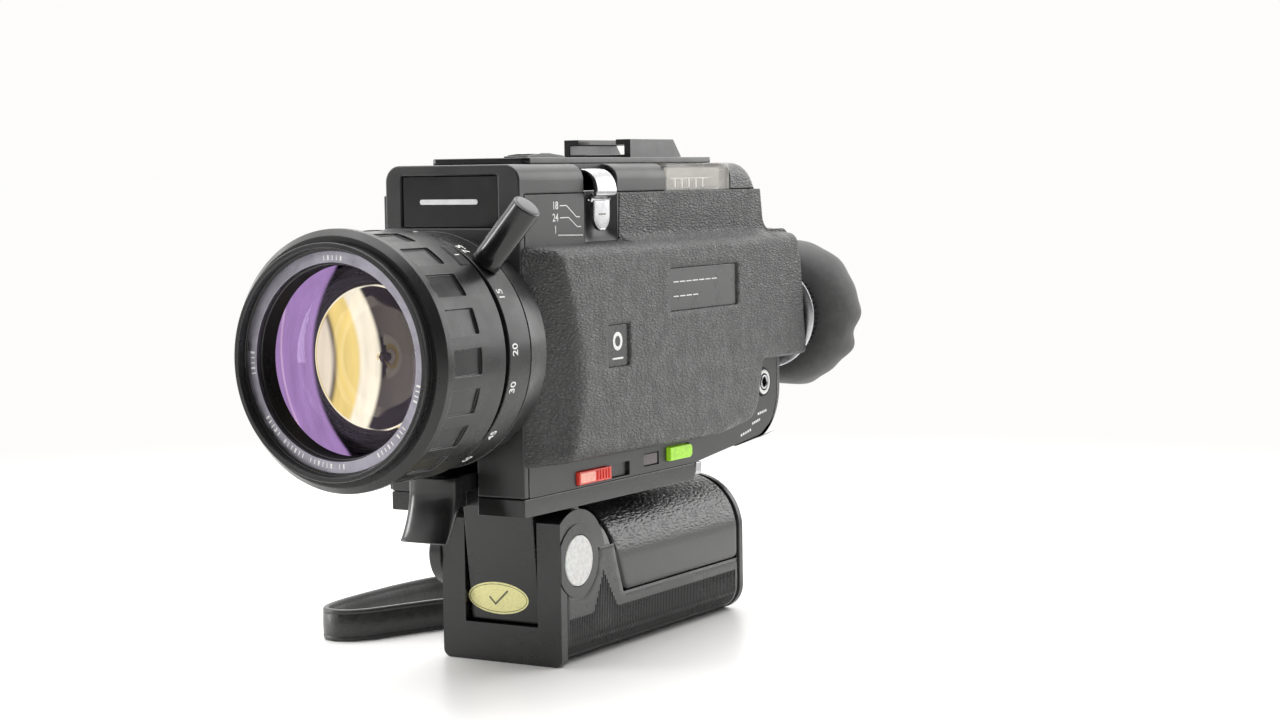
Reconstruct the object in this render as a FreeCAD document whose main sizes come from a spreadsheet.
import FreeCAD, Part
import math
import os
import re
import Sketcher
from FreeCAD import Placement, Rotation, Vector

# Cine camera for 8 mm cartridge film, with a zoom lens and a fold-down pistol grip, in millimetres.
# +X is the operator's left, -Y is where the lens points, +Z is up. The grip is folded back under the body.
# The origin is the mouth of the tripod socket, in the flat underside of the folded grip.

doc = FreeCAD.newDocument("cine_camera")
sheet = doc.addObject("Spreadsheet::Sheet", "Sizes")

SIZES = {
    # body shell
    "front_face": -29.5, "body_bottom": 49.8, "body_top": 139.5, "half_width": 22, "shell_wall": 2,
    "seam_gap": 0.15, "head_split": 131.3, "ledge_height": 118.7, "step_height": 77.8, "low_rear": 119,
    "high_rear": 128, "ledge_rear": 124.5, "head_rear": 105, "panel_rim": 2.6, "window_front": 48.6,
    "window_rear": 87,
    # left palm bulge and the two shallow label pockets in it
    "bulge_low": 58, "bulge_high": 117.5, "bulge_out": 31, "bulge_rear_out": 26, "bulge_start": -14,
    "bulge_wall": 1.6, "bulge_rear": 103.5, "label_length": 43, "label_height": 12.8, "label_front": 37,
    "label_low": 96.5, "badge_size": 12, "badge_front": 1, "badge_low": 83, "pocket_deep": 0.7,
    # right side and film door
    "side_out": 24.5, "door_out": 26.3, "door_front": 12, "door_rear": 100, "door_low": 56,
    "door_high": 126, "door_axis_side": 24.2, "door_axis_front": 9, "door_corner": 8, "knuckle_round": 2,
    # lens
    "lens_height": 90, "rim_front": -84.8, "rim_round": 30.4, "filter_round": 29, "name_ring_front": -82,
    "name_ring_round": 28.3, "glass_round": 24.6, "focus_front": -79, "focus_rear": -53.3,
    "focus_round": 33, "focus_inner": 30.2, "finger_pocket_deep": 0.6, "zoom_front": -49.8,
    "zoom_rear": -40, "zoom_round": 31.9, "barrel_round": 27, "barrel_bore": 23.6, "barrel_rear": -23,
    "spigot_bore": 17.8, "spigot_round": 19.3, "mount_round": 32, "running_gap": 0.05,
    "zoom_lever_round": 4, "zoom_lever_reach": 52, "zoom_lever_angle": 48,
    # finder and eyepiece
    "finder_side": 12, "finder_round": 5.2, "eyepiece_round": 11, "eyecup_round": 24, "eyecup_rear": 155,
    # base, hinge and grip
    "base_low": 44.6, "base_rear": 64.2, "hinge_height": 29, "block_half": 11.6, "block_front": -6.8,
    "block_lean": 3.6, "block_round": 19, "slot_half": 12.2, "slot_round": 19.4, "arm_half": 20,
    "arm_round": 14.4, "arm_front": -9, "plate_rear": -6, "bar_top": 10.8, "yoke_rear": 3,
    "grip_top": 42, "grip_rear": 93.2, "cap_rear": 96, "grip_wall": 2, "low_corner": 8,
    "pin_round": 3.5, "disc_round": 7.15, "bezel_round": 10.4, "cover_low": 16.7, "cover_front": 23.8,
    "cover_side": -2, "socket_round": 3.175, "socket_deep": 8, "strap_height": 9.3, "strap_thick": 1.6,
    "lug_rear": 86,
    # controls
    "slider_front": -3, "slider_length": 17, "slider_travel": 11, "slider_low": 50.6, "slider_high": 54.2,
    "lamp_front": 33.6, "lamp_length": 8.2, "lamp_low": 51.8, "lamp_top": 55.4, "check_front": 46.6,
    "check_length": 13, "check_low": 52, "check_high": 56, "jack_rear": 107.5, "jack_high": 70.5,
    "jack_round": 4.5, "speed_front": 3, "speed_rear": 20.4, "trigger_half": 6, "paddle_half": 7.5,
    "paddle_rear": -34.4, "trigger_axis_rear": -21, "trigger_axis_high": 54, "trigger_pin_round": 1.2,
    # mechanism
    "chamber_front": 20, "chamber_rear": 99, "chamber_low": 55, "chamber_high": 127.4, "chamber_back": 3.8,
    "shutter_side": -5, "shutter_high": 80, "shutter_round": 14.2, "gear_front": 8, "gear_thick": 2,
    "spindle_rear": 53, "spindle_high": 76.1, "worm_side": 14.2, "worm_high": 68, "motor_side": 8.2,
    "motor_high": 65.3, "motor_round": 8.4, "idler_side": -2, "idler_high": 68,
}

for row, (alias, size_value) in enumerate(SIZES.items(), 1):
    sheet.set(f"A{row}", alias)
    sheet.set(f"B{row}", str(size_value))
    sheet.setAlias(f"B{row}", alias)
doc.recompute()

pieces = []


def formula(text):
    """An expression in which every named size points at its spreadsheet cell."""
    return re.sub(r"[a-z_]{3,}", lambda word: "Sizes." + word[0] if word[0] in SIZES else word[0], str(text))


def number(text):
    """The present value of a formula."""
    return float(sheet.evalExpression(formula(text)))


def piece(label, thing):
    """Names a finished sub-part; its label is its file name."""
    thing.Label = label
    pieces.append(thing)
    return thing


def place(thing, x, y, z, turn=Rotation()):
    thing.Placement = Placement(Vector(0, 0, 0), turn)
    for axis, text in zip("xyz", (x, y, z)):
        thing.setExpression(f"Placement.Base.{axis}", formula(text))
    return thing


def box(x, y, z):
    """A block between pairs of limits."""
    block = doc.addObject("Part::Box", "block")
    for side, (low, high) in zip(("Length", "Width", "Height"), (x, y, z)):
        block.setExpression(side, formula(f"({high}) - ({low})"))
    return place(block, x[0], y[0], z[0])


TURNS = {"X": Rotation(Vector(0, 1, 0), 90), "Y": Rotation(Vector(1, 0, 0), -90), "Z": Rotation()}


def rod(axis, radius, span, centre):
    """A cylinder along one axis; centre holds its two other coordinates."""
    low, high = span
    bar = doc.addObject("Part::Cylinder", "rod")
    bar.setExpression("Radius", formula(radius))
    bar.setExpression("Height", formula(f"({high}) - ({low})"))
    spots = {"X": (low, *centre), "Y": (centre[0], low, centre[1]), "Z": (*centre, low)}
    return place(bar, *spots[axis], TURNS[axis])


def joined(*things):
    if len(things) == 1:
        return things[0]
    whole = doc.addObject("Part::MultiFuse", "joined")
    whole.Shapes = list(things)
    return whole


def group(*things):
    """Several separate solids kept in one sub-part."""
    whole = doc.addObject("Part::Compound", "group")
    whole.Links = list(things)
    return whole


def cut(base, *tools):
    result = doc.addObject("Part::Cut", "cut")
    result.Base = base
    result.Tool = tools[0] if len(tools) == 1 else joined(*tools)
    return result


def common(*things):
    result = doc.addObject("Part::MultiCommon", "common")
    result.Shapes = list(things)
    return result


def tube(axis, outer, inner, span, centre):
    low, high = span
    return cut(rod(axis, outer, span, centre), rod(axis, inner, (f"{low} - 1", f"{high} + 1"), centre))


def coded(label_hint, shape):
    """A shape made with Part's own functions, where no feature fits."""
    feature = doc.addObject("Part::Feature", label_hint)
    feature.Shape = shape
    return feature


ROLES = {"XY": "XY_Plane", "XZ": "XZ_Plane", "YZ": "YZ_Plane"}


def sketch_on(body, plane, offset, corners):
    """A closed outline with straight sides; every corner is bound to its pair of formulas."""
    drawing = body.newObject("Sketcher::SketchObject", "outline")
    base = next(item for item in body.Origin.OriginFeatures if item.Role == ROLES[plane])
    drawing.AttachmentSupport = (base, [""])
    drawing.MapMode = "FlatFace"
    drawing.setExpression("AttachmentOffset.Base.z", formula(offset))
    points = [Vector(number(u), number(v), 0) for u, v in corners]
    for start, end in zip(points, points[1:] + points[:1]):
        drawing.addGeometry(Part.LineSegment(start, end), False)
    from_origin = (-1, 1)
    for side, (u, v) in enumerate(corners):
        following = (side + 1) % len(corners)
        drawing.addConstraint(Sketcher.Constraint("Coincident", side, 2, following, 1))
        for kind, text in (("DistanceX", u), ("DistanceY", v)):
            rule = Sketcher.Constraint(kind, *from_origin, side, 1, number(text))
            place_in_list = drawing.addConstraint(rule)
            drawing.setExpression(f"Constraints[{place_in_list}]", formula(text))
    return drawing


def new_body(name):
    return doc.addObject("PartDesign::Body", name)


def pad(body, plane, span, corners):
    """Adds a prism to a body; span runs along the plane's own axis."""
    low, high = span
    offset = f"-({high})" if plane == "XZ" else low
    feature = body.newObject("PartDesign::Pad", "pad")
    feature.Profile = (sketch_on(body, plane, offset, corners), [""])
    feature.setExpression("Length", formula(f"({high}) - ({low})"))
    return feature


def prism(plane, span, corners, rounds=()):
    """A body padded from one outline; rounds holds (radius, corner, corner...) for edges along the pad."""
    body = new_body("prism")
    pad(body, plane, span, corners)
    round_along(body, plane, rounds)
    return body


def flat_place(plane, point):
    return {"XY": (point.x, point.y), "XZ": (point.x, point.z), "YZ": (point.y, point.z)}[plane]


def round_along(body, plane, rounds):
    """Rounds the edges that stand square on the outline's plane at the named corners."""
    for radius, *corners in rounds:
        doc.recompute()
        names = []
        for u, v in corners:
            spot = (number(u), number(v))
            for index, edge in enumerate(body.Shape.Edges, 1):
                ends = [flat_place(plane, vertex.Point) for vertex in edge.Vertexes]
                if len(ends) == 2 and all(math.dist(end, spot) < 0.01 for end in ends):
                    names.append(f"Edge{index}")
        add_fillet(body, radius, names)


def add_fillet(body, radius, names):
    feature = body.newObject("PartDesign::Fillet", "rounding")
    feature.Base = (body.Tip if body.Tip != feature else feature.BaseFeature, names)
    feature.setExpression("Radius", formula(radius))


def round_where(body, radius, chosen):
    """Rounds the edges whose bounding box passes a test."""
    doc.recompute()
    names = [f"Edge{i}" for i, edge in enumerate(body.Shape.Edges, 1) if chosen(edge.BoundBox)]
    add_fillet(body, radius, names)


def turned(corners, x=0, z="lens_height", rounds=()):
    """A body turned about an axis that runs front to back; corners are (y, radius) pairs."""
    body = new_body("turned")
    drawing = sketch_on(body, "YZ", 0, corners)
    feature = body.newObject("PartDesign::Revolution", "turning")
    feature.Profile = (drawing, [""])
    feature.ReferenceAxis = (drawing, ["H_Axis"])
    feature.Angle = 360
    return place(body, x, 0, z)


def ring(front, rear, outer, inner, x=0, z="lens_height"):
    return turned([(front, inner), (rear, inner), (rear, outer), (front, outer)], x, z)


# ---- body shell -------------------------------------------------------------------------------------

def side_outline(inset=0):
    """The body seen from the side, drawn in by an even inset."""
    return [(f"front_face + {inset}", f"body_bottom + {inset}"), ("base_rear", f"body_bottom + {inset}"),
            (f"low_rear - {inset}", f"body_bottom + 4.5 + {inset}"),
            (f"low_rear - {inset}", f"step_height + {inset}"),
            (f"high_rear - {inset}", f"step_height + {inset}"),
            (f"ledge_rear - {inset}", f"ledge_height - {inset}"),
            (f"head_rear + 3 - {inset}", f"ledge_height - {inset}"),
            (f"head_rear - {inset}", f"body_top - {inset}"),
            (f"front_face + {inset}", f"body_top - {inset}")]


def side_rounds(inset=0):
    """Radii for the corners of side_outline."""
    outline = side_outline(inset)
    return [(f"16 - {inset}", outline[2]), (f"12 - {inset}", outline[7]), (f"5 + {inset}", outline[6]),
            (f"4 - {inset}", outline[5]), ("2", outline[4])]


def panel_outline(gap=0):
    """The opening in each side of the housing: low edge flush with the bottom, rim left at front and rear."""
    low = "body_bottom - 1" if gap else "body_bottom"
    rim = f"(panel_rim - {gap})"
    return [(f"front_face + {rim}", low), ("base_rear", low),
            (f"low_rear - {rim}", f"body_bottom + 5.5 - {gap}"),
            (f"low_rear - {rim}", f"step_height + {rim}"),
            (f"high_rear - {rim}", f"step_height + {rim}"),
            (f"ledge_rear - {rim}", f"ledge_height - {rim}"),
            (f"head_rear + 3 - {rim}", f"ledge_height - {rim}"),
            (f"head_rear + 1 - {rim}", f"head_split + {gap}"),
            (f"front_face + {rim}", f"head_split + {gap}")]


def panel_rounds(gap=0):
    outline = panel_outline(gap)
    return [("13.5", outline[2])]


def eyepiece_bore():
    """Room for the eyepiece tube through whatever it passes at the rear."""
    return rod("Y", "eyepiece_round + 0.2", (116, "high_rear + 2"), ("finder_side", "lens_height"))


def main_housing():
    """The hollow body shell, open at both sides, with the head above the seam."""
    outer = prism("YZ", ("-half_width", "half_width"), side_outline(), side_rounds())
    top_edges = lambda b: b.ZLength < 0.01 and b.ZMin > number("body_top") - 0.01 and b.YLength > 40
    round_where(outer, 4.5, top_edges)
    hollow = prism("YZ", ("-half_width + shell_wall", "half_width - shell_wall"), side_outline("shell_wall"),
                   side_rounds("shell_wall"))
    openings = [prism("YZ", span, panel_outline("seam_gap"), panel_rounds("seam_gap"))
                for span in (("half_width - shell_wall - 1", "half_width + 1"),
                             ("-half_width - 1", "-half_width + shell_wall + 1"))]
    window = box(("half_width - 9", "half_width + 1"), ("window_front - seam_gap", "window_rear + seam_gap"),
                 ("head_split - 1", "body_top + 1"))
    name_recess = box((-16.6, 15), ("front_face - 1", "front_face + 1.2"), (122.5, 136.6))
    lens_bore = rod("Y", "spigot_round + 0.2", ("front_face - 1", "front_face + 4"), (0, "lens_height"))
    trigger_slot = box(("-trigger_half - 0.8", "trigger_half + 0.8"), ("front_face - 1", "front_face + 4"),
                       ("body_bottom - 1", 60))
    trigger_foot = box(("-trigger_half - 0.8", "trigger_half + 0.8"), ("front_face - 1", -15.5),
                       ("body_bottom - 1", "body_bottom + 2.5"))
    speed_slot = box(("half_width - 4.5", "half_width + 1"), ("speed_front", "speed_rear"),
                     ("head_split - 4", "body_top + 1"))
    rocker_slot = box((-4.4, 4.4), (1.6, 22.4), ("body_top - 3", "body_top + 1"))
    walls = cut(outer, hollow, *openings, window, name_recess, lens_bore, eyepiece_bore(), trigger_slot,
                trigger_foot, speed_slot, rocker_slot)
    bosses = [box(span, ("trigger_axis_rear - 3", "trigger_axis_rear + 3"),
                  ("body_bottom + shell_wall - 0.2", "trigger_axis_high + 3"))
              for span in ((9.4, 12), (-12, "-trigger_half - 1"))]
    pin_seat = rod("X", "trigger_pin_round + 0.02", (-11.5, 11.5),
                   ("trigger_axis_rear", "trigger_axis_high"))
    return piece("main_housing", cut(joined(walls, *bosses), pin_seat))


def left_side_panel():
    """The flat wall that carries the switches, lamp and socket."""
    plate = prism("YZ", ("half_width - shell_wall", "half_width"), panel_outline(), panel_rounds())
    slider_slot = box(("half_width - 5", "half_width + 1"),
                      ("slider_front - 0.3", "slider_front + slider_length + slider_travel + 0.3"),
                      ("slider_low - 0.2", "slider_high + 0.2"))
    check_hole = box(("half_width - 5", "half_width + 1"),
                     ("check_front - 0.2", "check_front + check_length + 0.2"),
                     ("check_low - 0.2", "check_high + 0.2"))
    lamp_hole = box(("half_width - 5", "half_width + 1"),
                    ("lamp_front - 0.1", "lamp_front + lamp_length + 0.1"),
                    ("lamp_low - 0.1", "lamp_top + 0.1"))
    jack_hole = rod("X", "jack_round + 0.1", ("half_width - 5", "half_width + 1"), ("jack_rear", "jack_high"))
    speed_slot = box(("half_width - 5", "half_width + 1"), ("speed_front", "speed_rear"), (117.6, 132))
    holes = (slider_slot, check_hole, lamp_hole, jack_hole, speed_slot, eyepiece_bore())
    return piece("left_side_panel", cut(plate, *holes))


def bulge_outline(inset=0):
    return [(f"front_face + 0.6 + {inset}", f"bulge_low + {inset}"), (70, f"bulge_low + {inset}"),
            (f"bulge_rear - 4 - {inset}", f"bulge_low + 3 + {inset}"),
            (f"bulge_rear - {inset}", f"step_height + {inset}"),
            (f"high_rear - {inset}", f"step_height + {inset}"),
            (f"ledge_rear - {inset}", f"bulge_high - {inset}"),
            (f"front_face + 0.6 + {inset}", f"bulge_high - {inset}")]


def bulge_plan(inset=0):
    """The bulge seen from above: it swells from the front edge, then tapers towards the rear."""
    return [("front_face + 0.6", "half_width - 3"), ("front_face + 0.6", f"half_width + 0.8 - {inset}"),
            ("bulge_start - 6", f"bulge_out - 2.4 - {inset}"), ("bulge_start + 3", f"bulge_out - {inset}"),
            ("high_rear + 2", f"bulge_rear_out - {inset}"), ("high_rear + 2", "half_width - 3")]


def bulge_solid(inset, low_side):
    """Side outline and plan together; the plan's pairs are (y, x)."""
    side = prism("YZ", (low_side, "bulge_out + 1"), bulge_outline(inset),
                 [("9", bulge_outline(inset)[2]), (f"4 - {inset}", bulge_outline(inset)[5])])
    plan = prism("XY", ("bulge_low - 5", "bulge_high + 5"), [(x, y) for y, x in bulge_plan(inset)],
                 [("14", bulge_plan(inset)[2][::-1]), ("20", bulge_plan(inset)[3][::-1])])
    return common(side, plan)


def left_cover():
    """Grained moulding: the palm bulge and, above and behind it, a thin skin over the side panel."""
    shell = cut(bulge_solid(0, "half_width + 0.02"), bulge_solid("bulge_wall", "half_width - 1"))
    skin = prism("YZ", ("half_width + 0.02", "half_width + 0.6"),
                 [(21.5, "bulge_high - 1"), ("head_rear + 3", "bulge_high - 1"),
                  ("head_rear + 3.5", "ledge_height + 2"), ("head_rear + 1.5", "head_split"),
                  (21.5, "head_split")])
    label = box((20, 40), ("label_front", "label_front + label_length"),
                ("label_low", "label_low + label_height"))
    label_pocket = common(label, cut(bulge_solid(-1, 15), bulge_solid("pocket_deep", 10)))
    badge = box((20, 40), ("badge_front", "badge_front + badge_size"),
                ("badge_low", "badge_low + badge_size"))
    badge_pocket = common(badge, cut(bulge_solid(-1, 15), bulge_solid("pocket_deep", 10)))
    slider_relief = box((20, 23.4), ("slider_front - 1", "check_front + check_length + 1"), (50, 57))
    return piece("left_cover", cut(joined(shell, skin), label_pocket, badge_pocket, slider_relief,
                                   eyepiece_bore()))


def name_plate():
    """The blank plate let into the front of the head."""
    plate = box((-16.4, 14.8), ("front_face + 0.5", "front_face + 1.15"), (122.7, 136.4))
    return piece("name_plate", plate)


def right_cover():
    """Right side moulding around the film door; it stands a little proud of the housing."""
    plate = prism("YZ", ("-side_out", "-half_width + shell_wall"), panel_outline(), panel_rounds())
    door_hole = prism("YZ", ("-side_out - 1", "-half_width + shell_wall + 1"),
                      [("door_front - 0.3", "door_low - 0.3"), ("door_rear + 0.3", "door_low - 0.3"),
                       ("door_rear + 0.3", "door_high + 0.3"), ("door_front - 0.3", "door_high + 0.3")],
                      [("door_corner", ("door_rear + 0.3", "door_low - 0.3"),
                        ("door_rear + 0.3", "door_high + 0.3"))])
    hinge_groove = rod("Z", "knuckle_round + 1.4", ("door_low - 0.3", "door_high + 0.3"),
                       ("-door_axis_side", "door_axis_front"))
    hinge_mouth = box(("-side_out - 1", "-door_axis_side + 2.2"), ("door_axis_front", "door_front"),
                      ("door_low - 0.3", "door_high + 0.3"))
    pin_hole = rod("Z", "0.9 + running_gap", ("door_low - 4", "door_high + 2.4"),
                   ("-door_axis_side", "door_axis_front"))
    latch_slot = box(("-side_out - 1", "-side_out + 1.8"), (104.2, 114.2), (84, 96))
    screw_holes = [rod("X", 2, ("-side_out - 1", "-side_out + 1.2"), spot) for spot in SCREW_SPOTS]
    return piece("right_cover", cut(plate, door_hole, hinge_groove, hinge_mouth, pin_hole, latch_slot,
                                    *screw_holes))


SCREW_SPOTS = ((-21, 54), (-21, 127), (60, "door_low - 3.2"), (90, "door_high + 2.8"))


def casing_screws():
    screws = [rod("X", 1.9, ("-side_out + 0.2", "-side_out + 1.18"), spot) for spot in SCREW_SPOTS]
    return piece("casing_screws", group(*screws))


def film_door():
    slab = prism("YZ", ("-door_out", "-half_width + 0.6"),
                 [("door_front", "door_low"), ("door_rear", "door_low"), ("door_rear", "door_high"),
                  ("door_front", "door_high")],
                 [("door_corner - 0.3", ("door_rear", "door_low"), ("door_rear", "door_high"))])
    outside, hinge_side = number("-door_out") + 0.01, number("door_front") + 1
    round_where(slab, 1.2, lambda b: b.XLength < 0.01 and b.XMax < outside and b.YMax > hinge_side)
    hollow = box(("-door_out + 1.8", "-half_width + 2"), ("door_front + 6", "door_rear - 4"),
                 ("door_low + 4", "door_high - 4"))
    window_recess = box(("-door_out - 1", "-door_out + 0.8"), (38, 64), (96, 106))
    knuckles = [rod("Z", "knuckle_round", span, ("-door_axis_side", "door_axis_front"))
                for span in (("door_low + 6", "door_low + 20"), ("door_high - 20", "door_high - 6"))]
    straps = [box(("-door_axis_side - 1.9", "-door_axis_side + 0.6"),
                  ("door_axis_front + 0.5", "door_front + 0.5"), span)
              for span in (("door_low + 6", "door_low + 20"), ("door_high - 20", "door_high - 6"))]
    bore = rod("Z", "0.9 + running_gap", ("door_low", "door_high"), ("-door_axis_side", "door_axis_front"))
    return piece("film_door", cut(joined(slab, *knuckles, *straps), hollow, window_recess, bore))


def door_fittings():
    piece("door_hinge_pin", rod("Z", 0.9, ("door_low - 3.4", "door_high + 2"),
                                ("-door_axis_side", "door_axis_front")))
    knob = box(("-side_out - 1.6", "-side_out + 1.6"), (104.4, 109.4), (84.3, 95.7))
    piece("door_latch", knob)


def top_fittings():
    corners = [(-16, -16.5), (16, -16.5), (16, 87), (-16, 87)]
    plate = prism("XY", ("body_top + 0.02", "body_top + 1.8"), corners, [("2", *corners)])
    rocker_hole = box((-4.3, 4.3), (1.7, 22.3), ("body_top - 1", "body_top + 3"))
    shoe_hole = box((-11.7, 11.7), (45.3, 75.7), ("body_top + 1", "body_top + 3"))
    piece("top_plate", cut(plate, rocker_hole, shoe_hole))
    shoe = prism("XZ", (45.5, 75.5),
                 [(-11.5, 140.55), (11.5, 140.55), (11.5, 146.7), (6.5, 146.7), (6.5, 145.1), (9.4, 145.1),
                  (9.4, 142.2), (-9.4, 142.2), (-9.4, 145.1), (-6.5, 145.1), (-6.5, 146.7), (-11.5, 146.7)])
    slope = prism("YZ", (-20, 20), [(71, 148), (71, 146.7), (75.6, 141.6), (80, 141.6), (80, 148)])
    piece("accessory_shoe", cut(shoe, slope))
    rocker = prism("YZ", (-4, 4), [(2, 139), (22, 139), (22, 141.9), (14, 142.7), (10, 142.7), (2, 141.9)])
    piece("zoom_rocker", joined(rocker, rod("X", 0.8, (-4.25, 4.25), (12, 140))))
    wall = cut(box(("half_width - 8.8", "half_width - 0.1"), ("window_front", "window_rear"),
                   ("head_split", "body_top - 0.1")),
               box(("half_width - 10", "half_width - 1.2"), ("window_front - 1", "window_rear + 1"),
                   ("head_split - 1", "body_top - 1.2")))
    piece("counter_window", wall)


def control_fittings():
    piece("power_slider", box(("half_width - 1.2", "half_width + 0.9"),
                              ("slider_front", "slider_front + slider_length"),
                              ("slider_low", "slider_high")))
    piece("battery_lamp", box(("half_width - 3", "half_width - 0.4"),
                              ("lamp_front", "lamp_front + lamp_length"), ("lamp_low", "lamp_top")))
    button = prism("YZ", ("half_width - 1.5", "half_width + 1.4"),
                   [("check_front", "check_low"), ("check_front + check_length", "check_low"),
                    ("check_front + check_length", "check_high"), ("check_front", "check_high")],
                   [("1.5", ("check_front + check_length", "check_low"),
                     ("check_front + check_length", "check_high"))])
    piece("battery_check_button", button)
    piece("remote_jack", tube("X", "jack_round", 1.6, ("half_width - 4", "half_width + 0.3"),
                              ("jack_rear", "jack_high")))
    hook = prism("XZ", (4.7, 19.3),
                 [(18.6, 137.2), (21.8, 137.2), (24.8, 133.4), (25.2, 127.9), (22.3, 127.9), (22.3, 121.9),
                  (20.9, 121.9), (20.9, 128.9), (22.3, 133.2), (20.5, 136), (18.6, 136)])
    tongue = box((21.5, 23.5), (8.6, 17.6), (121.7, 128.5))
    side_trim = cut(hook, box((15, 24), (4, 8.6), (121, 127.9)), box((15, 24), (17.6, 20), (121, 127.9)))
    piece("speed_lever", joined(side_trim, tongue))


# ---- lens -------------------------------------------------------------------------------------------

def lens_outer():
    piece("lens_barrel", turned([("name_ring_front + 25", "barrel_bore"), ("front_face - 2", "barrel_bore"),
                                 ("front_face - 2", "spigot_bore"), ("barrel_rear", "spigot_bore"),
                                 ("barrel_rear", "spigot_round"), ("front_face - 0.1", "spigot_round"),
                                 ("front_face - 0.1", "mount_round - 2"), ("zoom_rear + 0.2", "mount_round"),
                                 ("zoom_rear + 0.2", "barrel_round"),
                                 ("name_ring_front + 25", "barrel_round")]))
    zoom = ring("zoom_front", "zoom_rear", "zoom_round", "barrel_round + running_gap")
    lever_bore = radial_rod("zoom_lever_round - 1.9", "barrel_round + 2", "zoom_lever_reach")
    piece("zoom_ring", cut(zoom, lever_bore))
    stem = radial_rod("zoom_lever_round - 1.95", "barrel_round + 2.1", "zoom_round + 3")
    handle = radial_rod("zoom_lever_round", "zoom_round + 0.2", "zoom_lever_reach")
    piece("zoom_lever", joined(stem, handle))
    body = turned([("focus_front", "focus_inner"), ("focus_rear", "barrel_round + running_gap"),
                   ("focus_rear", "focus_round"), ("focus_front + 2", "focus_round"),
                   ("focus_front + 1.2", "focus_round + 0.8"), ("focus_front - 1", "focus_round + 0.8"),
                   ("focus_front - 3", "focus_round - 1"), ("focus_front - 3", "focus_inner")])
    pocket_ring(body)
    piece("focus_ring", body)
    piece("name_ring", ring("name_ring_front + 0.05", "name_ring_front + 1.5",
                            "name_ring_round - 0.02", 25.3))
    piece("front_cell", turned([("name_ring_front + 1.55", "glass_round + 0.1"),
                                ("name_ring_front + 14", "glass_round + 0.1"),
                                ("name_ring_front + 14", "barrel_round - 0.5"),
                                ("focus_front - 0.15", "focus_inner - 0.1"),
                                ("focus_front - 3.05", "focus_inner - 0.1"),
                                ("focus_front - 3.05", "rim_round"),
                                ("rim_front", "rim_round"), ("rim_front", "filter_round"),
                                ("name_ring_front", "filter_round"), ("name_ring_front", "name_ring_round"),
                                ("name_ring_front + 1.55", "name_ring_round")]))


def radial_rod(radius, start, end):
    """A rod that stands out from the zoom ring at the lever's angle; start and end are distances."""
    bar = doc.addObject("Part::Cylinder", "radial")
    bar.setExpression("Radius", formula(radius))
    bar.setExpression("Height", formula(f"({end}) - ({start})"))
    angle = number("zoom_lever_angle")
    turn = Rotation(Vector(0, 1, 0), 90 - angle)
    return place(bar, f"({start}) * cos(zoom_lever_angle)", "(zoom_front + zoom_rear) / 2",
                 f"lens_height + ({start}) * sin(zoom_lever_angle)", turn)


POCKETS = 20


def pocket_ring(body):
    """Shallow finger pockets, evenly spaced around the focus ring."""
    half = math.radians(360 / POCKETS * 0.33)
    low, high = "(focus_round - finger_pocket_deep)", "(focus_round + 2)"
    corners = [(f"{radius} * {math.sin(sign * half):.4f}", f"{radius} * {math.cos(half):.4f}")
               for radius, sign in ((low, -1), (low, 1), (high, 1), (high, -1))]
    drawing = sketch_on(body, "XZ", "-(focus_front + 3)", corners)
    feature = body.newObject("PartDesign::Pocket", "finger_pocket")
    feature.Profile = (drawing, [""])
    feature.Length = 12
    feature.Reversed = False
    doc.recompute()
    pattern = body.newObject("PartDesign::PolarPattern", "finger_pockets")
    pattern.Originals = [feature]
    pattern.Axis = (drawing, ["N_Axis"])
    pattern.Angle = 360
    pattern.Occurrences = POCKETS
    body.Tip = pattern


def lens_shape(front, rear, radius, front_curve, rear_curve, side=0):
    """A glass element: a disc with a spherical front and rear; curves are sphere radii (0 is flat)."""
    high = number("lens_height")
    glass = Part.makeCylinder(radius, rear - front, Vector(side, front, high), Vector(0, 1, 0))
    if front_curve:
        glass = glass.common(Part.makeSphere(front_curve, Vector(side, front + front_curve, high)))
    if rear_curve:
        glass = glass.common(Part.makeSphere(rear_curve, Vector(side, rear - rear_curve, high)))
    return glass


def lens_inner():
    """The front glass, the zoom and rear groups, and what sits in the light path behind them."""
    glass = number("glass_round")
    front = number("name_ring_front")
    piece("front_lens", coded("front_glass", lens_shape(front + 1.6, front + 11, glass, 60, 0)))
    cell = tube("Y", "barrel_bore - 0.1", 14, (-47, -35), (0, "lens_height"))
    piece("zoom_lens_group", group(cell, coded("zoom_glass", lens_shape(-45, -37, 14, 30, 40))))
    rear = [lens_shape(-15, -11, 5.4, 14, 20), lens_shape(-3, 2, 5.4, 12, 0), lens_shape(6, 10, 5.4, 12, 16)]
    tube_wall = tube("Y", 6.4, 5.4, (-16.8, 13), (0, "lens_height"))
    piece("rear_lens_group", group(tube_wall, coded("rear_glass", Part.makeCompound(rear))))
    piece("beam_splitter", prism("XY", ("lens_height - 5", "lens_height + 5"),
                                 [(-5, -31), ("finder_side - 4", -31), ("finder_side + 6", -21.5),
                                  ("finder_side + 6", -20.2), (-5, -20.2)]))
    piece("iris_vane", cut(joined(box((-5, 5), (-18.3, -17.7), ("lens_height - 5", "lens_height + 18")),
                                  rod("Y", 5, (-18.3, -17.7), (0, "lens_height + 18"))),
                           rod("Y", 2.2, (-19, -17), (0, "lens_height")),
                           rod("Y", 1.05, (-19, -17), (0, "lens_height + 18"))))
    piece("exposure_meter", joined(rod("Y", 7, (-17, -5), (0, "lens_height + 18")),
                                   rod("Y", 1, (-18.6, -17), (0, "lens_height + 18"))))


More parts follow.
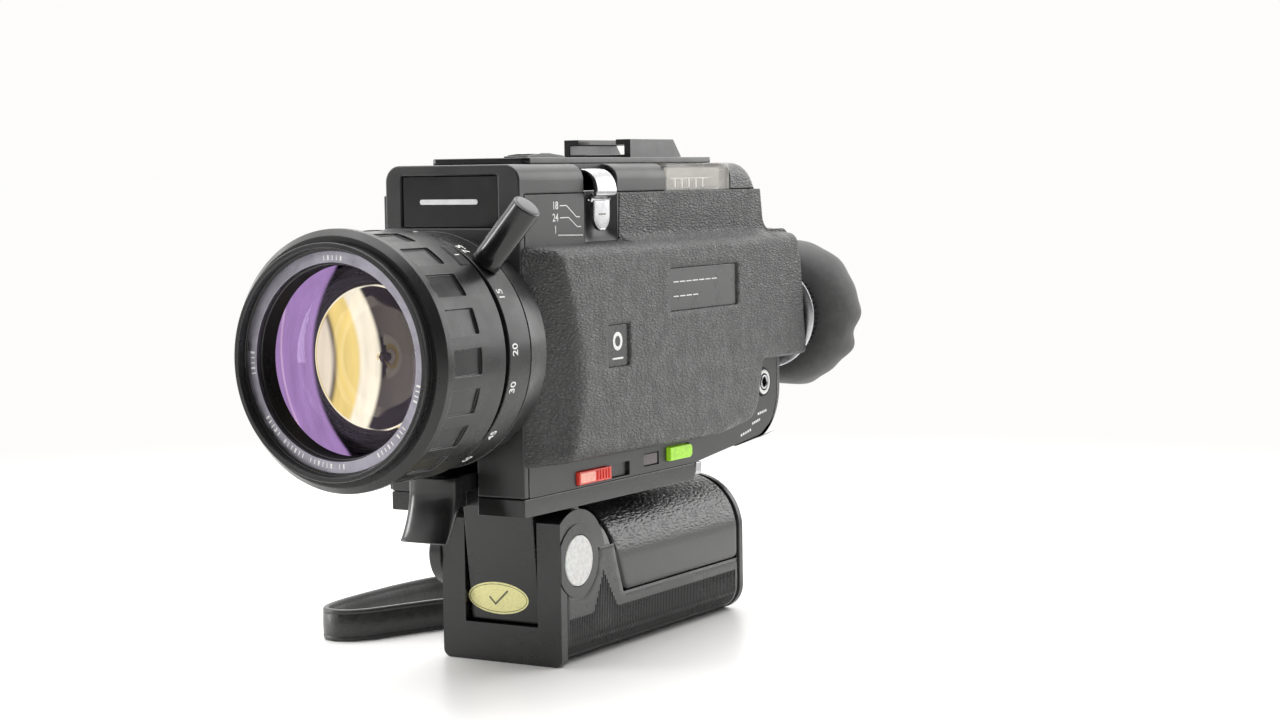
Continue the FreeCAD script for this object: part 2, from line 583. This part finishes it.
def finder():
    """The finder tube with its relay lenses, the eyepiece and the eyecup."""
    side = number("finder_side")
    wall = tube("Y", "finder_round", "finder_round - 0.8", (-16.8, 116), ("finder_side", "lens_height"))
    inner = number("finder_round - 0.8")
    relay = [lens_shape(start, start + 4, inner, 12, 14, side) for start in (-10, 28, 66, 104)]
    piece("finder_tube", group(wall, coded("finder_glass", Part.makeCompound(relay))))
    piece("eyepiece_tube", turned([(116.4, 5.3), (118, 5.3), (118, 9.6), (151, 9.6), (151, "eyepiece_round"),
                                   (116.4, "eyepiece_round")], x="finder_side"))
    piece("eyepiece_lens", coded("eye_glass", lens_shape(136, 143, 9.5, 24, 30, side)))
    piece("diopter_ring", ring(130.5, 135.5, 15.6, "eyepiece_round + running_gap", x="finder_side"))
    cup = turned([(136.2, "eyepiece_round + 0.1"), (151.2, "eyepiece_round + 0.1"), (151.2, 14),
                  ("eyecup_rear", 21), ("eyecup_rear - 1", "eyecup_round"),
                  (150, "eyecup_round - 0.6"), (143, 20.4), (136.2, 19.2)],
                 x="finder_side")
    piece("eyecup", cup)


# ---- base, hinge and grip ---------------------------------------------------------------------------

def base():
    """The flat plate under the body, cut away at the front for the trigger."""
    plate = prism("XY", ("base_low", "body_bottom - 0.1"),
                  [("-half_width", "front_face"), ("half_width", "front_face"), ("half_width", "base_rear"),
                   ("-half_width", "base_rear")],
                  [("1.5", ("half_width", "base_rear"), ("-half_width", "base_rear"))])
    trigger_slot = box(("-trigger_half - 0.8", "trigger_half + 0.8"), ("front_face - 1", -15.5), (40, 52))
    piece("base_plate", cut(plate, trigger_slot))
    hinge_block()


def hinge_block():
    """The block between the yoke's arms; its front face leans forward towards the top."""
    upper = box(("-block_half", "block_half"), ("block_front - block_lean", 12),
                ("hinge_height", "base_low - 0.02"))
    lower = rod("X", "block_round", ("-block_half", "block_half"), (0, "hinge_height"))
    front_cut = prism("YZ", (-15, 15),
                      [(-40, "bar_top"), ("block_front", "bar_top"), ("block_front - block_lean", "base_low"),
                       (-40, "base_low")])
    low_cut = box((-15, 15), (-40, "block_front"), (0, "bar_top"))
    top_cut = box((-15, 15), (-30, 30), ("base_low - 0.02", 60))
    pin_bore = rod("X", "pin_round + running_gap", (-20, 20), (0, "hinge_height"))
    piece("hinge_block", cut(joined(upper, lower), front_cut, low_cut, top_cut, pin_bore))
    piece("grip_catch", prism("XZ", ("base_rear + 0.1", "base_rear + 3.6"),
                              [(16.5, 45.4), (21.8, 45.4), (21.8, "body_bottom - 0.1"),
                               (16.5, "body_bottom - 0.1")],
                              [("1.5", (16.5, 45.4), (21.8, 45.4))]))


def trigger():
    """A narrow arm on its pin inside the housing, and in front a wider paddle for the finger."""
    arm = prism("YZ", ("-trigger_half", "trigger_half"),
                [(-18, 51.4), (-18, 56.6), ("paddle_rear - 1", 56.6), ("paddle_rear - 1", 51.4)])
    paddle = prism("YZ", ("-paddle_half", "paddle_half"),
                   [("paddle_rear", 56.6), (-43.4, 56.4), (-43.6, 50.5), (-44, 46.5), (-45.2, 42.5),
                    (-47, 39), (-43.5, 38.6), (-40.2, 43), (-38, 48), ("paddle_rear", 51.4)],
                   [("1.5", (-43.4, 56.4)), ("0.8", (-47, 39)), ("6", (-44, 46.5))])
    bore = rod("X", "trigger_pin_round + running_gap", (-10, 10), ("trigger_axis_rear", "trigger_axis_high"))
    piece("trigger", cut(joined(arm, paddle), bore))
    piece("trigger_pin", rod("X", "trigger_pin_round", (-11.4, 11.4),
                             ("trigger_axis_rear", "trigger_axis_high")))
    piece("trigger_spring", coil(1.75, 0.33, 2.4, 3))


def coil(radius, wire, length, turns):
    """The trigger's return spring, wound round its pin beside the lever."""
    path = Part.makeHelix(length / turns, length, radius)
    profile = Part.Wire(Part.Circle(Vector(radius, 0, 0), Vector(0, 1, 0), wire).toShape())
    solid = Part.Wire(path).makePipeShell([profile], True, True)
    feature = coded("coil_spring", solid)
    return place(feature, "trigger_half + 0.5", "trigger_axis_rear", "trigger_axis_high", TURNS["X"])


def yoke_frame(span, corner):
    """A slice of the yoke: two upright arms on a low bar, with rounded lower corners."""
    return prism("XZ", span,
                 [("-arm_half", 0), ("arm_half", 0), ("arm_half", "hinge_height"),
                  ("slot_half", "hinge_height"), ("slot_half", "bar_top"), ("-slot_half", "bar_top"),
                  ("-slot_half", "hinge_height"), ("-arm_half", "hinge_height")],
                 [(corner, ("-arm_half", 0), ("arm_half", 0))])


def yoke():
    """A square-cornered front plate; behind it the yoke takes on the section of the grip."""
    frame = joined(yoke_frame(("arm_front", "plate_rear"), "2.5"),
                   yoke_frame(("plate_rear", "yoke_rear"), "low_corner"))
    arms = [common(rod("X", "arm_round", span, (0, "hinge_height")),
                   box(span, ("arm_front", 15), (10, 50)))
            for span in (("slot_half", "arm_half"), ("-arm_half", "-slot_half"))]
    clearance = rod("X", "slot_round", ("-slot_half", "slot_half"), (0, "hinge_height"))
    pin_bore = rod("X", "pin_round + running_gap", ("-arm_half - 1", "arm_half - 4.4"), (0, "hinge_height"))
    face_pocket = rod("X", "bezel_round", ("arm_half - 3", "arm_half + 1"), (0, "hinge_height"))
    socket = rod("Z", "socket_round", (-1, "socket_deep"), (0, 0))
    screw_hole = rod("X", 5, ("-arm_half - 1", "-arm_half + 2"), (0, "hinge_height"))
    bezel = common(tube("X", "bezel_round", "disc_round + 0.25", ("arm_half - 3", "arm_half + 0.3"),
                        (0, "hinge_height")),
                   box(("arm_half - 4", "arm_half + 1"), ("arm_front", 15), (10, 50)))
    piece("grip_yoke", joined(cut(joined(frame, *arms), clearance, pin_bore, face_pocket, socket,
                                  screw_hole), bezel))
    piece("release_button", rod("X", "disc_round", ("arm_half - 1.2", "arm_half + 0.5"), (0, "hinge_height")))
    knob = turned_across([("-arm_half - 5", 8.6), ("-arm_half - 4", 9.8), ("-arm_half - 0.1", 9.8),
                          ("-arm_half - 0.1", 4.9), ("-arm_half + 1.9", 4.9),
                          ("-arm_half + 1.9", "pin_round"), ("arm_half - 4.5", "pin_round"),
                          ("arm_half - 4.5", 0), ("-arm_half - 5", 0)])
    piece("hinge_pin", knob)


def turned_across(corners):
    """A body turned about the hinge axis; corners are (x, radius) pairs."""
    body = new_body("turned_across")
    drawing = sketch_on(body, "XY", 0, corners)
    feature = body.newObject("PartDesign::Revolution", "turning")
    feature.Profile = (drawing, [""])
    feature.ReferenceAxis = (drawing, ["H_Axis"])
    feature.Angle = 360
    return place(body, 0, 0, "hinge_height")


def grip_section(inset, span):
    """The grip's cross section: flat underside, large round shoulders."""
    side, top, low = f"arm_half - ({inset})", f"grip_top - ({inset})", f"{inset}"
    return prism("XZ", span, [(f"-({side})", low), (side, low), (side, top), (f"-({side})", top)],
                 [(f"16.5 - ({inset})", (side, top), (f"-({side})", top)),
                  (f"low_corner - ({inset})", (side, low), (f"-({side})", low))])


def cover_zone(grow, low_side):
    """The region of the grip wall that the battery cover takes up; its front edge is nearly upright."""
    return prism("YZ", (low_side, 30),
                 [(f"cover_front - {grow}", f"cover_low - {grow}"),
                  (f"grip_rear - 0.6 + {grow}", f"cover_low - {grow}"),
                  (f"grip_rear - 0.6 + {grow}", 50), (f"19 - {grow}", 50), (f"19 - {grow}", 31)])


def block_room():
    """Room for the hinge block to turn in, between the arms."""
    return rod("X", "slot_round + 0.1", ("-slot_half", "slot_half"), (0, "hinge_height"))


def grip():
    """The hollow grip with its strap lug, the battery cover, the end cap and the battery tray."""
    outer = grip_section(0, ("yoke_rear + 0.1", "grip_rear"))
    cavity = grip_section("grip_wall", ("slot_round + 4", "grip_rear + 1"))
    round_front = rod("X", "arm_round + 0.3", (-30, 30), (0, "hinge_height"))
    slot_top = box(("-slot_half", "slot_half"), (-1, "slot_round"), ("hinge_height", 60))
    lug = cut(box(("-arm_half - 3.4", "-arm_half + 0.5"), ("lug_rear - 3", "lug_rear + 3"), (4.4, 11.5)),
              rod("X", 1.4, (-30, -10), ("lug_rear", 7)))
    walls = joined(cut(outer, cavity), lug)
    piece("grip_shell", cut(walls, round_front, block_room(), slot_top,
                            cover_zone(0.15, "cover_side - 0.15")))
    skin = cut(grip_section(0, ("12.5", "grip_rear")), grip_section("grip_wall", ("10", "grip_rear + 1")))
    piece("battery_cover", cut(common(skin, cover_zone(0, "cover_side")), block_room()))
    cap = prism("XZ", ("grip_rear + 0.05", "cap_rear"),
                [("-arm_half - 0.5", 0), ("arm_half + 0.5", 0), ("arm_half + 0.5", "grip_top + 0.3"),
                 ("-arm_half - 0.5", "grip_top + 0.3")],
                [("16.8", ("arm_half + 0.5", "grip_top + 0.3"), ("-arm_half - 0.5", "grip_top + 0.3")),
                 ("low_corner", ("-arm_half - 0.5", 0), ("arm_half + 0.5", 0))])
    piece("grip_end_cap", cap)
    tray = cut(box((-15.5, 15.5), (28, 86), (4, 35.5)), box((-14.6, 20), (29, 85), (5, 34.6)))
    plates = [box((-14, 14), (29, 29.8), (z - 6, z + 6)) for z in (12.4, 27)]
    piece("battery_tray", common(joined(tray, *plates),
                                 grip_section("grip_wall + 0.3", (20, "grip_rear - 1"))))


def strap():
    """The wrist strap: one band that leaves the lug, loops out to the right and comes back."""
    points = [(-24.8, 85), (-25.6, 71), (-33, 45), (-44.5, 22), (-50, 9), (-54.5, -1), (-61, -5.5),
              (-67.5, -2.5), (-70.5, 9), (-71.3, 28), (-71, 42), (-68.5, 58), (-60, 75), (-46, 86),
              (-33, 89.8), (-25.2, 88.4)]
    curve = Part.BSplineCurve()
    curve.interpolate([Vector(x, y, 0.2) for x, y in points])
    edges = [strap_side(curve, sign * number("strap_thick") / 2).toShape() for sign in (-1, 1)]
    ends = [Part.makeLine(edges[0].valueAt(end), edges[1].valueAt(end))
            for end in (edges[0].FirstParameter, edges[0].LastParameter)]
    outline = Part.Wire(Part.__sortEdges__(edges + ends))
    solid = Part.Face(outline).extrude(Vector(0, 0, number("strap_height")))
    piece("wrist_strap", coded("strap_band", solid))


def strap_side(curve, shift):
    """The curve beside a flat curve, at an even distance."""
    steps = 40
    beside = []
    for step in range(steps + 1):
        spot = curve.FirstParameter + (curve.LastParameter - curve.FirstParameter) * step / steps
        along = curve.tangent(spot)[0]
        beside.append(curve.value(spot) + Vector(-along.y, along.x, 0) * shift)
    line = Part.BSplineCurve()
    line.interpolate(Points=beside, Parameters=[step / steps for step in range(steps + 1)])
    return line


# ---- mechanism --------------------------------------------------------------------------------------

def gear_shape(teeth, outer, root, thick, bore):
    """A spur gear standing on its origin along +Y, with plain tapered teeth."""
    corners = []
    for tooth in range(teeth):
        for step, radius in ((0.0, root), (0.3, outer), (0.5, outer), (0.8, root)):
            turn = 2 * math.pi * (tooth + step) / teeth
            corners.append(Vector(radius * math.sin(turn), 0, radius * math.cos(turn)))
    face = Part.Face(Part.makePolygon(corners + corners[:1]))
    solid = face.extrude(Vector(0, thick, 0))
    return solid.cut(Part.makeCylinder(bore, thick + 2, Vector(0, -1, 0), Vector(0, 1, 0)))


def gear(teeth, outer, root, bore, side, high, front):
    feature = coded("gear", gear_shape(teeth, outer, root, number("gear_thick"), bore))
    return place(feature, side, front, high)


def chamber():
    """The film chamber, open to the right, with the gate and the claw."""
    walls = box(("-half_width + shell_wall + 0.1", "chamber_back"), ("chamber_front", "chamber_rear"),
                ("chamber_low", "chamber_high"))
    room = box((-40, "chamber_back - 1.2"), ("chamber_front + 1.4", "chamber_rear - 1.2"),
               ("chamber_low + 1.2", "chamber_high - 1.2"))
    aperture = box((-8, 2), ("chamber_front - 1", "chamber_front + 3"), (76, 100))
    spindle_hole = rod("X", 2, (-5, 10), ("spindle_rear", "spindle_high"))
    piece("film_chamber", cut(walls, room, aperture, spindle_hole))
    plate = box((-9.5, 2.4), (18.2, 19.8), (75, 103))
    picture = box((-2.9, 2.9), (17, 21), ("lens_height - 2.1", "lens_height + 2.1"))
    claw_slot = box((-6.4, -4.4), (17, 21), (78, 87))
    piece("film_gate", cut(plate, picture, claw_slot))
    claw = joined(box((-6.6, -4.2), (16.7, 17.7), (70, 88)), box((-5.8, -5), (17.5, 20.6), (84.6, 85.8)))
    piece("claw", claw)


def drive():
    """The motor and the train of gears to the shutter and the take-up spindle, the counter and the board."""
    disc = rod("Y", "shutter_round", (15.2, 15.8), ("shutter_side", "shutter_high"))
    opening = prism("XZ", (14, 17),
                    [("shutter_side", "shutter_high"), ("shutter_side - 2", "shutter_high - 20"),
                     ("shutter_side - 20", "shutter_high - 20"), ("shutter_side - 20", "shutter_high + 6")])
    hub = rod("Y", 3, (14, 16.4), ("shutter_side", "shutter_high"))
    shaft = rod("Y", 1.2, (-4, 16.4), ("shutter_side", "shutter_high"))
    wheel = gear(16, 4.4, 3.5, 1, "shutter_side", "shutter_high", "gear_front")
    piece("shutter", joined(cut(disc, opening), hub, shaft, wheel))
    axle = rod("Y", 1.2, (2, 13), ("idler_side", "idler_high"))
    piece("idler_gear", joined(gear(28, 7.9, 7, 1, "idler_side", "idler_high", "gear_front"), axle))
    piece("drive_motor", rod("Y", "motor_round", (-17, 5), ("motor_side", "motor_high")))
    piece("motor_pinion", joined(gear(9, 2.6, 1.8, 0.4, "motor_side", "motor_high", "gear_front"),
                                 rod("Y", 0.9, (5.1, 11), ("motor_side", "motor_high"))))
    shaft = rod("Y", 1.18, (6, 62), ("worm_side", "worm_high"))
    worm = rod("Y", 2, (47, 59), ("worm_side", "worm_high"))
    piece("worm_shaft", joined(gear(14, 3.9, 3, 1, "worm_side", "worm_high", "gear_front"), shaft, worm))
    wheel = coded("takeup_wheel_shape", gear_shape(20, 5.9, 5, 2, 1))
    wheel.Placement = Placement(Vector(13.2, number("spindle_rear"), number("spindle_high")),
                                Rotation(Vector(0, 0, 1), -90))
    spindle = joined(wheel, rod("X", 1.45, (-4, 15.4), ("spindle_rear", "spindle_high")),
                     rod("X", 3.2, (-9, 2.2), ("spindle_rear", "spindle_high")),
                     box((-9, -1), ("spindle_rear - 4.4", "spindle_rear + 4.4"),
                         ("spindle_high - 0.6", "spindle_high + 0.6")))
    piece("takeup_spindle", spindle)
    piece("counter_drum", tube("Y", 4.4, 1.6, (54, 86), (14.2, 132.6)))
    board = joined(box((23.6, 25), (2, 78), (66, 110)), box((24.9, 27), (10, 22), (72, 84)),
                   box((24.9, 26.4), (40, 60), (70, 78)), rod("X", 3, (24.9, 27.5), (34, 92)))
    piece("circuit_board", board)


def build():
    main_housing()
    left_side_panel()
    left_cover()
    name_plate()
    right_cover()
    casing_screws()
    film_door()
    door_fittings()
    top_fittings()
    control_fittings()
    lens_outer()
    lens_inner()
    finder()
    base()
    trigger()
    yoke()
    grip()
    strap()
    chamber()
    drive()


def check(thing):
    """Stops the build if a sub-part failed or is empty."""
    if thing.Shape.isNull() or not thing.Shape.isValid() or not thing.Shape.Solids:
        raise RuntimeError(f"{thing.Label} has no valid solid")


build()
doc.recompute()
failed = [item.Name for item in doc.Objects if {"Invalid", "Error"} & set(item.State)]
if failed:
    raise RuntimeError("failed objects: " + ", ".join(failed))
for part in pieces:
    check(part)

os.makedirs("parts", exist_ok=True)
for part in pieces:
    part.Shape.exportStep(f"parts/{part.Label}.step")
    print(part.Label, len(part.Shape.Solids), round(part.Shape.Volume))
print(len(pieces), "sub-parts")
